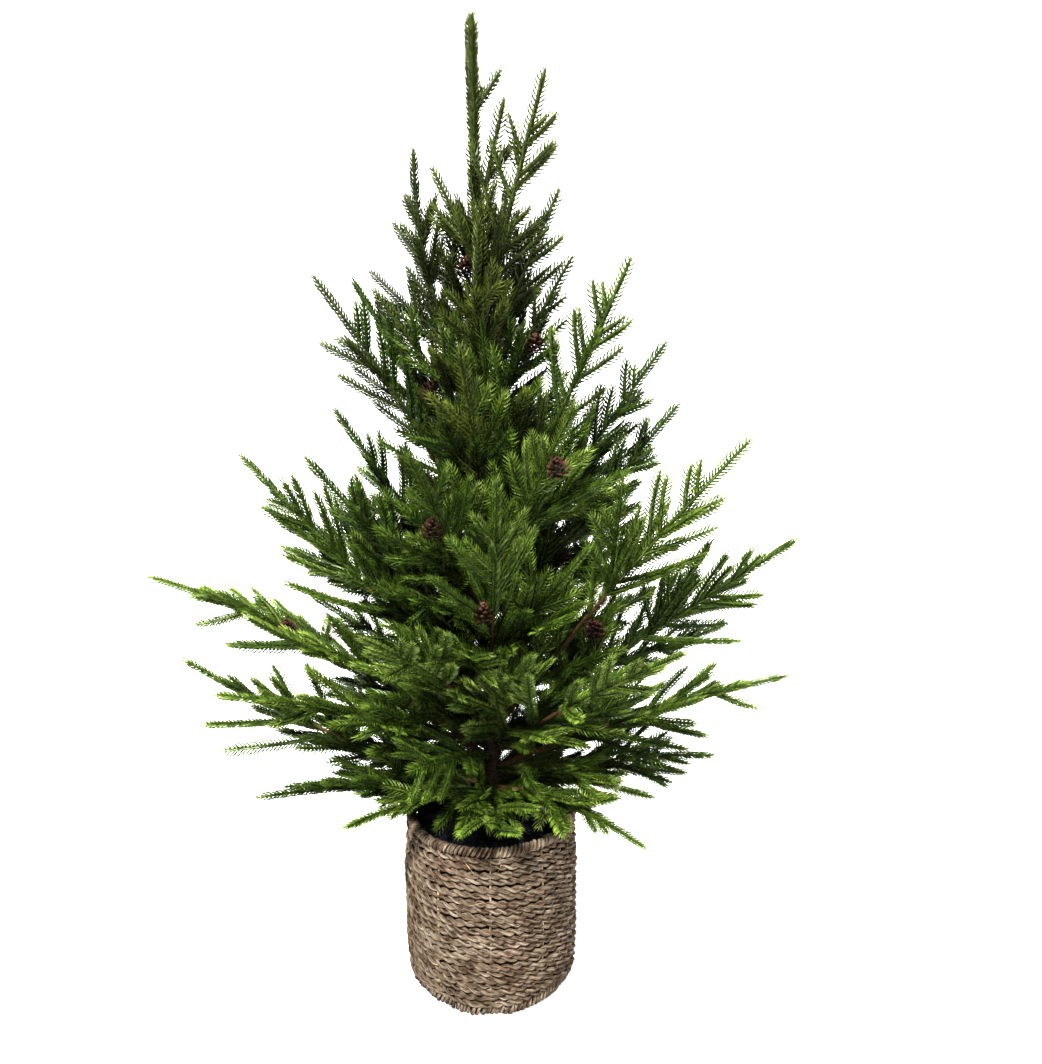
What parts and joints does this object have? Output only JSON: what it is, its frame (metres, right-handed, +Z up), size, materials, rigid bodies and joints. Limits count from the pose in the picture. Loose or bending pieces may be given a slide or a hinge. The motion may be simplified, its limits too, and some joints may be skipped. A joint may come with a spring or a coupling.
{
  "type": "artificial norfolk island pine in a woven basket",
  "caption": "Potted artificial conifer: a slim trunk with tiers of rising boughs, flat herringbone sprays of needles and small cones, in a round woven seagrass basket.",
  "frame": {"origin": "centre of the basket's flat underside, under the trunk's foot", "axes": "+Z up along the trunk, -Y towards the front, +X to the right seen from the front"},
  "size_m": [0.6545, 0.4481, 0.914],
  "materials": {
    "seagrass": "matte",
    "black_felt": "matte",
    "bark": "matte",
    "needles": "satin"
  },
  "bodies": {
    "root": {"basket": "seagrass", "filling": "black_felt", "trunk": "bark", "bough_skirt_1": "bark", "bough_skirt_2": "bark", "bough_skirt_3": "bark", "bough_skirt_4": "bark", "bough_skirt_5": "bark", "bough_skirt_6": "bark", "bough_skirt_7": "bark", "bough_lower_1": "bark", "bough_lower_2": "bark", "bough_lower_3": "bark", "bough_lower_4": "bark", "bough_lower_5": "bark", "bough_lower_6": "bark", "spray_skirt_1": "needles", "spray_skirt_2": "needles", "spray_skirt_3": "needles", "spray_skirt_4": "needles", "spray_skirt_5": "needles", "spray_skirt_6": "needles", "spray_skirt_7": "needles", "spray_heart_1": "needles", "spray_heart_2": "needles", "spray_heart_3": "needles", "spray_heart_4": "needles", "spray_heart_5": "needles", "spray_heart_6": "needles", "spray_heart_7": "needles", "spray_heart_8": "needles", "spray_lower_1": "needles", "spray_lower_2": "needles", "spray_lower_3": "needles", "spray_lower_4": "needles", "spray_lower_5": "needles", "spray_lower_6": "needles", "spray_middle_1": "needles", "spray_middle_2": "needles", "spray_middle_3": "needles", "spray_middle_4": "needles", "spray_middle_5": "needles", "spray_middle_6": "needles", "spray_middle_7": "needles", "spray_middle_8": "needles", "spray_middle_9": "needles", "spray_upper_1": "needles", "spray_upper_2": "needles", "spray_upper_3": "needles", "spray_upper_4": "needles", "spray_upper_5": "needles", "spray_upper_6": "needles", "spray_upper_7": "needles", "spray_top_1": "needles", "spray_top_2": "needles", "spray_top_3": "needles", "spray_top_4": "needles", "spray_top_5": "needles", "spray_top_6": "needles", "spray_leader": "needles"}
  },
  "joints": []
}
